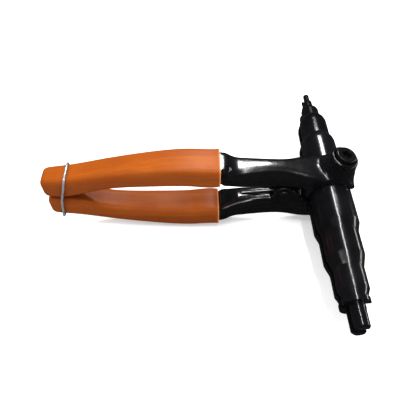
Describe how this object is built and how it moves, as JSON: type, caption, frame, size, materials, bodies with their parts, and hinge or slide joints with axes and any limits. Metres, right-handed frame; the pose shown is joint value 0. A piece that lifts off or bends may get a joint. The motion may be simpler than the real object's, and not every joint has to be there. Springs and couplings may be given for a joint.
{
  "type": "pipe expander pliers",
  "caption": "Squeeze-to-spread hand pliers with a split double-ended stepped mandrel, orange handle sleeves and a wire keeper loop",
  "frame": {"origin": "on the mandrel axis, midway between the two levers", "axes": "+X from the handles to the head, +Y along the mandrel to its small end, +Z from the lower lever to the upper"},
  "size_m": [0.2062, 0.194, 0.0658],
  "materials": {
    "black_forging": "gloss black forging, softly blended corners",
    "black_jaw": "gloss black turned steel",
    "orange_sleeve": "satin orange dipped vinyl",
    "black_screw": "black oxide",
    "spring_steel": "bright spring steel",
    "brass_washer": "dull bronze",
    "keeper_wire": "bright plated wire"
  },
  "bodies": {
    "lower_half": {"lower_lever": "black_forging", "lower_grip": "orange_sleeve", "lower_jaw": "black_jaw", "lower_jaw_screw": "black_screw", "lower_lock_washer": "spring_steel", "hinge_pin": "black_screw", "hinge_clip": "spring_steel", "front_hinge_washer": "brass_washer", "rear_hinge_washer": "brass_washer", "return_spring": "spring_steel"},
    "upper_half": {"upper_lever": "black_forging", "upper_grip": "orange_sleeve", "upper_jaw": "black_jaw", "upper_jaw_screw": "black_screw", "upper_lock_washer": "spring_steel"},
    "keeper": {"keeper_ring": "keeper_wire"}
  },
  "joints": [
    {"name": "lever_pivot", "type": "hinge", "parent": "lower_half", "child": "upper_half", "pos_m": [-0.03, 0, 0], "axis": [0, 1, 0], "range_deg": [0, 11.5], "deforming": ["return_spring", "keeper_ring"]},
    {"name": "keeper_off", "type": "slide", "parent": "lower_half", "child": "keeper", "axis": [-1, 0, 0], "range_m": [0, 0.036]}
  ],
  "couplings": [
    {"joint": "keeper_off", "follows": "lever_pivot", "m_per_rad": 0.175}
  ]
}
